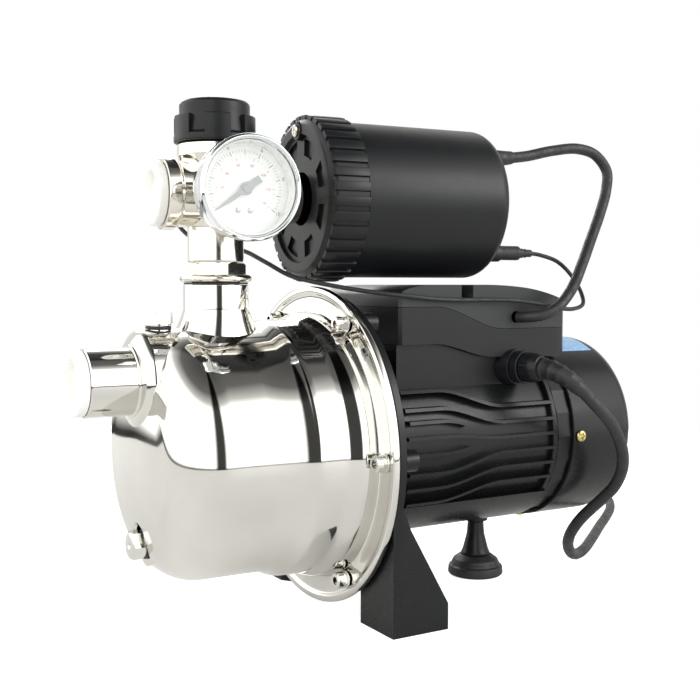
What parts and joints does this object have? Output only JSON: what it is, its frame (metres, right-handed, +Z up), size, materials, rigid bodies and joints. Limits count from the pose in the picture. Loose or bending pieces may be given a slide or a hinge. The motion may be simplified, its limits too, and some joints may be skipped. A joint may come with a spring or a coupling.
{
  "type": "shallow well jet pump",
  "caption": "Self-priming shallow well jet pump: round polished casing, finned motor with terminal box, manifold fitting with pressure gauge and drum-shaped controller, mains lead.",
  "frame": {"origin": "On the floor under the middle of the pump, without its cords", "axes": "+X along the shaft from the suction port to the fan, +Y away from the gauge side, +Z up"},
  "size_m": [0.6065, 0.3685, 0.3403],
  "materials": {
    "polished_stainless": "mirror polished",
    "nickel_plate": "polished nickel plating",
    "chrome_plate": "mirror",
    "bare_steel": "machined",
    "zinc_yellow": "yellow passivated",
    "brass": "machined",
    "wound_core": "laminated, copper windings",
    "black_casting": "semi-gloss black",
    "black_plastic": "satin",
    "dark_grey_plastic": "satin",
    "black_rubber": "matt",
    "white_plastic": "gloss",
    "grey_plastic": "satin",
    "clear_lens": "clear"
  },
  "bodies": {
    "pump_body": {"pump_casing": "polished_stainless", "discharge_nipple": "nickel_plate", "neck_seal": "black_rubber", "casing_gasket": "black_rubber", "jet_nozzle": "brass", "venturi_tube": "grey_plastic", "diffuser": "grey_plastic", "shaft_seal_seat": "white_plastic", "motor_bracket": "black_casting", "front_bearing": "bare_steel", "rear_bearing": "bare_steel", "stator": "wound_core", "motor_housing": "black_casting", "rear_end_shield": "black_casting", "fan_cover": "black_casting", "rear_foot_post": "black_plastic", "rear_foot_pad": "black_rubber", "terminal_box": "black_plastic", "terminal_box_lid": "dark_grey_plastic", "capacitor": "grey_plastic", "cable_gland": "black_plastic", "cable_gland_nut": "black_plastic", "five_way_fitting": "nickel_plate", "gauge_case": "chrome_plate", "gauge_bezel": "chrome_plate", "gauge_lens": "clear_lens", "gauge_dial": "white_plastic", "controller_collar": "black_plastic", "controller_body": "black_plastic", "controller_screw": "bare_steel", "pressure_sensor": "nickel_plate", "sensor_plug": "black_rubber", "controller_cable": "black_rubber", "sensor_cable": "black_rubber", "power_cord": "black_rubber", "power_plug": "black_rubber", "flange_bolt_1": "polished_stainless", "flange_bolt_2": "polished_stainless", "flange_bolt_3": "polished_stainless", "flange_bolt_4": "polished_stainless", "flange_bolt_5": "polished_stainless", "flange_bolt_6": "polished_stainless", "fan_cover_screw_1": "zinc_yellow", "fan_cover_screw_2": "zinc_yellow", "fan_cover_screw_3": "zinc_yellow", "lid_screw_1": "bare_steel", "lid_screw_2": "bare_steel"},
    "rotor": {"motor_shaft": "bare_steel", "rotor_core": "bare_steel", "impeller": "brass", "cooling_fan": "black_plastic", "shaft_seal_head": "bare_steel"},
    "gauge_needle": {"gauge_pointer": "grey_plastic"},
    "fill_cap": {"fill_plug": "polished_stainless", "fill_plug_seal": "black_rubber"},
    "drain_cap": {"drain_plug": "polished_stainless", "drain_plug_seal": "black_rubber"},
    "suction_cap": {"suction_thread_cap": "white_plastic"},
    "outlet_cap": {"outlet_thread_cap": "white_plastic"},
    "top_closure": {"top_cap": "black_plastic"}
  },
  "joints": [
    {"name": "rotor_spin", "type": "hinge", "parent": "pump_body", "child": "rotor", "pos_m": [0, 0, 0.112], "axis": [1, 0, 0], "continuous": true},
    {"name": "gauge_needle_turn", "type": "hinge", "parent": "pump_body", "child": "gauge_needle", "pos_m": [-0.11141, -0.05586, 0.28], "axis": [0.0698, 0.9976, 0], "range_deg": [0, 250], "stiffness_Nm_per_rad": 0.00002},
    {"name": "fill_plug_lift", "type": "slide", "parent": "pump_body", "child": "fill_cap", "axis": [0, 0, 1], "range_m": [0, 0.028]},
    {"name": "drain_plug_pull", "type": "slide", "parent": "pump_body", "child": "drain_cap", "axis": [-1, 0, 0], "range_m": [0, 0.028]},
    {"name": "suction_cap_pull", "type": "slide", "parent": "pump_body", "child": "suction_cap", "axis": [-1, 0, 0], "range_m": [0, 0.035]},
    {"name": "outlet_cap_pull", "type": "slide", "parent": "pump_body", "child": "outlet_cap", "axis": [-0.9976, 0.0698, 0], "range_m": [0, 0.035]},
    {"name": "top_cap_lift", "type": "slide", "parent": "pump_body", "child": "top_closure", "axis": [0, 0, 1], "range_m": [0, 0.035]}
  ]
}
